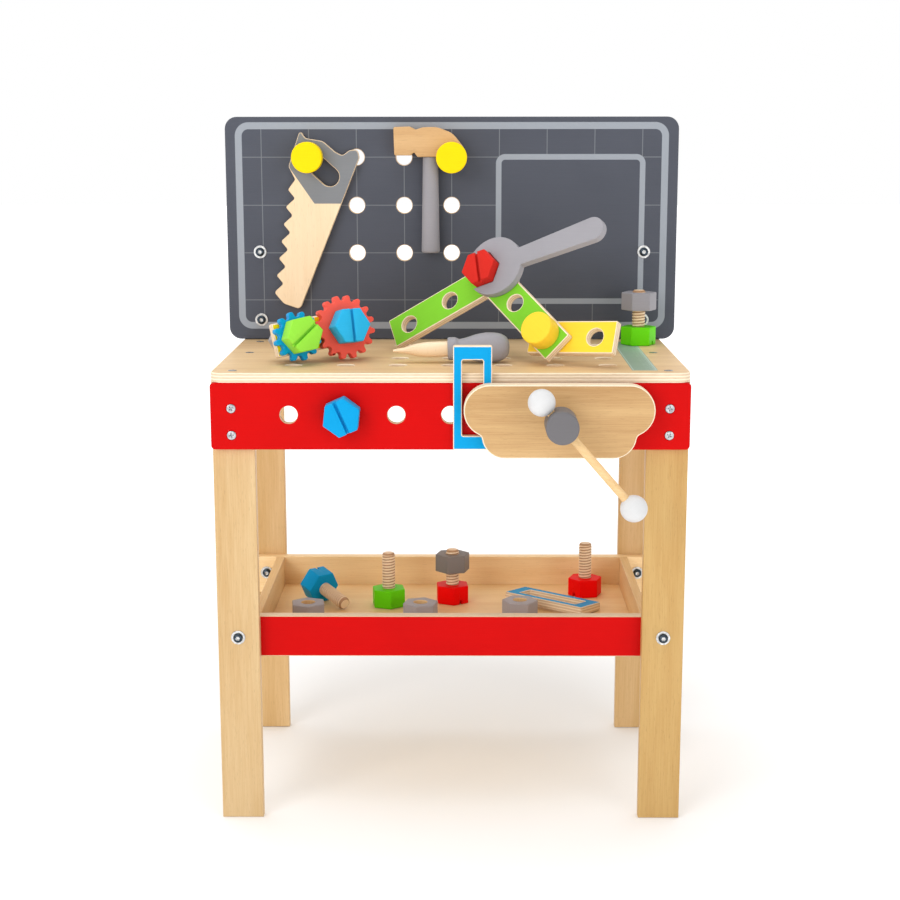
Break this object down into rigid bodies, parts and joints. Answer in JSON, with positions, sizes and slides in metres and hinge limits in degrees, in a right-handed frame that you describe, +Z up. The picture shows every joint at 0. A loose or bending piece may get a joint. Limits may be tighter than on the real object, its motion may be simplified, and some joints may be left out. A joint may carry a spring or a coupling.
{
  "type": "toy workbench",
  "caption": "Child-size wooden workbench with a drilled worktop, tool panel, front vise, lower tray and loose wooden tools and fasteners.",
  "frame": {"origin": "on the floor under the middle of the whole outline, from the vise knob to the rear legs", "axes": "+X to the right seen from the front, +Y to the back, +Z up; the vise and the red apron face -Y"},
  "size_m": [0.491, 0.356, 0.6962],
  "materials": {
    "beech": "clear satin lacquer over solid beech",
    "plywood": "clear satin lacquer over birch-faced board",
    "red_paint": "opaque satin red paint",
    "blue_paint": "opaque satin blue paint",
    "green_paint": "opaque satin green paint",
    "yellow_paint": "opaque satin yellow paint",
    "grey_paint": "opaque satin grey paint",
    "charcoal_print": "matt charcoal print on board",
    "white_paint": "opaque satin white paint",
    "zinc_steel": "bright zinc-plated steel"
  },
  "bodies": {
    "bench": {"leg_front_left": "beech", "leg_front_right": "beech", "leg_back_left": "beech", "leg_back_right": "beech", "worktop": "plywood", "front_apron": "red_paint", "back_rail": "beech", "side_rail_left": "beech", "side_rail_right": "beech", "tray_front": "red_paint", "tray_back": "beech", "tray_side_left": "beech", "tray_side_right": "beech", "tray_floor": "plywood", "back_panel": "charcoal_print", "wood_screws": "zinc_steel", "frame_bolts": "zinc_steel", "frame_washers": "zinc_steel", "insert_nuts": "zinc_steel", "vise_nut_block": "beech"},
    "jaw": {"vise_jaw": "plywood", "vise_guides": "beech"},
    "screw": {"vise_screw": "beech", "vise_knob": "grey_paint"},
    "bar": {"tommy_bar": "beech", "bar_balls": "white_paint"},
    "window_frame_clamped": {"clamped_frame": "blue_paint"},
    "saw": {"saw": "plywood"},
    "hammer": {"hammer_head": "beech", "hammer_handle": "grey_paint"},
    "peg_left": {"panel_peg_left": "yellow_paint"},
    "peg_right": {"panel_peg_right": "yellow_paint"},
    "gear_set": {"gear_strip": "yellow_paint", "gear_bolt_green": "green_paint", "gear_bolt_blue": "blue_paint", "gear_nuts": "grey_paint"},
    "red_gear": {"gear_red": "red_paint"},
    "blue_gear": {"gear_blue": "blue_paint"},
    "strip_stand": {"green_strip_front": "green_paint", "strip_peg": "yellow_paint"},
    "strip_back": {"green_strip_back": "green_paint"},
    "strip_yellow": {"yellow_strip": "yellow_paint"},
    "red_bolt": {"strip_bolt_red": "red_paint", "strip_nut": "grey_paint"},
    "spanner": {"spanner": "grey_paint"},
    "screwdriver": {"screwdriver_handle": "grey_paint", "screwdriver_shaft": "beech"},
    "top_bolt": {"worktop_bolt": "green_paint"},
    "top_nut": {"worktop_nut": "grey_paint"},
    "apron_bolt": {"apron_bolt": "blue_paint", "apron_nut": "grey_paint"},
    "tray_blue_bolt": {"tray_bolt_blue": "blue_paint"},
    "tray_green_bolt": {"tray_bolt_green": "green_paint"},
    "tray_red_bolt_left": {"tray_bolt_red_left": "red_paint"},
    "tray_nut_on_bolt": {"tray_bolt_nut": "grey_paint"},
    "tray_red_bolt_right": {"tray_bolt_red_right": "red_paint"},
    "nut_left": {"loose_nut_left": "grey_paint"},
    "nut_middle": {"loose_nut_middle": "grey_paint"},
    "nut_right": {"loose_nut_right": "grey_paint"},
    "window_frame_loose": {"tray_frame": "plywood"}
  },
  "joints": [
    {"name": "jaw_slide", "type": "slide", "parent": "bench", "child": "jaw", "axis": [0, -1, 0], "range_m": [0, 0.03]},
    {"name": "screw_turn", "type": "hinge", "parent": "jaw", "child": "screw", "pos_m": [0.1032, -0.161, 0.414], "axis": [0, -1, 0], "continuous": true},
    {"name": "bar_slide", "type": "slide", "parent": "screw", "child": "bar", "axis": [-0.6561, 0, 0.7547], "range_m": [0, 0.075]},
    {"name": "clamped_frame_lift", "type": "slide", "parent": "bench", "child": "window_frame_clamped", "axis": [0, 0, 1], "range_m": [0, 0.11]},
    {"name": "saw_swing", "type": "hinge", "parent": "bench", "child": "saw", "pos_m": [-0.1548, 0.1523, 0.6532], "axis": [0, 1, 0], "range_deg": [-12, 6]},
    {"name": "hammer_lift", "type": "slide", "parent": "bench", "child": "hammer", "axis": [0, 0, 1], "range_m": [0, 0.08]},
    {"name": "peg_left_pull", "type": "slide", "parent": "bench", "child": "peg_left", "axis": [0, -1, 0], "range_m": [0, 0.045]},
    {"name": "peg_right_pull", "type": "slide", "parent": "bench", "child": "peg_right", "axis": [0, -1, 0], "range_m": [0, 0.045]},
    {"name": "gear_set_lift", "type": "slide", "parent": "bench", "child": "gear_set", "axis": [0, 0, 1], "range_m": [0, 0.15]},
    {"name": "red_gear_spin", "type": "hinge", "parent": "gear_set", "child": "red_gear", "pos_m": [-0.10896, -0.00708, 0.48655], "axis": [0.4441, -0.8715, 0.2079], "continuous": true},
    {"name": "blue_gear_spin", "type": "hinge", "parent": "gear_set", "child": "blue_gear", "pos_m": [-0.154, -0.0315, 0.4804], "axis": [0.4441, -0.8715, 0.2079], "continuous": true},
    {"name": "strips_lift", "type": "slide", "parent": "bench", "child": "strip_stand", "axis": [0, 0, 1], "range_m": [0, 0.15]},
    {"name": "back_strip_fold", "type": "hinge", "parent": "strip_stand", "child": "strip_back", "pos_m": [0.0365, 0.0285, 0.5386], "axis": [-0.4982, -0.7527, 0.4305], "range_deg": [-30, 0]},
    {"name": "yellow_strip_fold", "type": "hinge", "parent": "strip_stand", "child": "strip_yellow", "pos_m": [0.09232, -0.03939, 0.48451], "axis": [-0.4982, -0.7527, 0.4305], "range_deg": [0, 15]},
    {"name": "red_bolt_turn", "type": "hinge", "parent": "strip_stand", "child": "red_bolt", "pos_m": [0.0365, 0.0285, 0.5386], "axis": [-0.4982, -0.7527, 0.4305], "range_deg": [-25, 60]},
    {"name": "spanner_pull", "type": "slide", "parent": "red_bolt", "child": "spanner", "axis": [0.8599, -0.3649, 0.357], "range_m": [0, 0.05]},
    {"name": "screwdriver_lift", "type": "slide", "parent": "bench", "child": "screwdriver", "axis": [0, 0, 1], "range_m": [0, 0.15]},
    {"name": "top_bolt_lift", "type": "slide", "parent": "bench", "child": "top_bolt", "axis": [0, 0, 1], "range_m": [0, 0.1]},
    {"name": "top_nut_lift", "type": "slide", "parent": "top_bolt", "child": "top_nut", "axis": [0, 0, 1], "range_m": [0, 0.03]},
    {"name": "apron_bolt_turn", "type": "hinge", "parent": "bench", "child": "apron_bolt", "pos_m": [-0.1032, -0.102, 0.414], "axis": [0, 1, 0], "continuous": true},
    {"name": "tray_blue_bolt_lift", "type": "slide", "parent": "bench", "child": "tray_blue_bolt", "axis": [0, 0, 1], "range_m": [0, 0.1]},
    {"name": "tray_green_bolt_lift", "type": "slide", "parent": "bench", "child": "tray_green_bolt", "axis": [0, 0, 1], "range_m": [0, 0.1]},
    {"name": "tray_red_bolt_left_lift", "type": "slide", "parent": "bench", "child": "tray_red_bolt_left", "axis": [0, 0, 1], "range_m": [0, 0.1]},
    {"name": "tray_red_bolt_right_lift", "type": "slide", "parent": "bench", "child": "tray_red_bolt_right", "axis": [0, 0, 1], "range_m": [0, 0.1]},
    {"name": "nut_left_lift", "type": "slide", "parent": "bench", "child": "nut_left", "axis": [0, 0, 1], "range_m": [0, 0.1]},
    {"name": "nut_middle_lift", "type": "slide", "parent": "bench", "child": "nut_middle", "axis": [0, 0, 1], "range_m": [0, 0.1]},
    {"name": "nut_right_lift", "type": "slide", "parent": "bench", "child": "nut_right", "axis": [0, 0, 1], "range_m": [0, 0.1]},
    {"name": "loose_frame_lift", "type": "slide", "parent": "bench", "child": "window_frame_loose", "axis": [0, 0, 1], "range_m": [0, 0.1]},
    {"name": "tray_nut_lift", "type": "slide", "parent": "tray_red_bolt_left", "child": "tray_nut_on_bolt", "axis": [0, 0, 1], "range_m": [0, 0.03]}
  ],
  "couplings": [
    {"joint": "screw_turn", "follows": "jaw_slide", "rad_per_m": 785.4},
    {"joint": "blue_gear_spin", "follows": "red_gear_spin", "ratio": -1.3333}
  ]
}
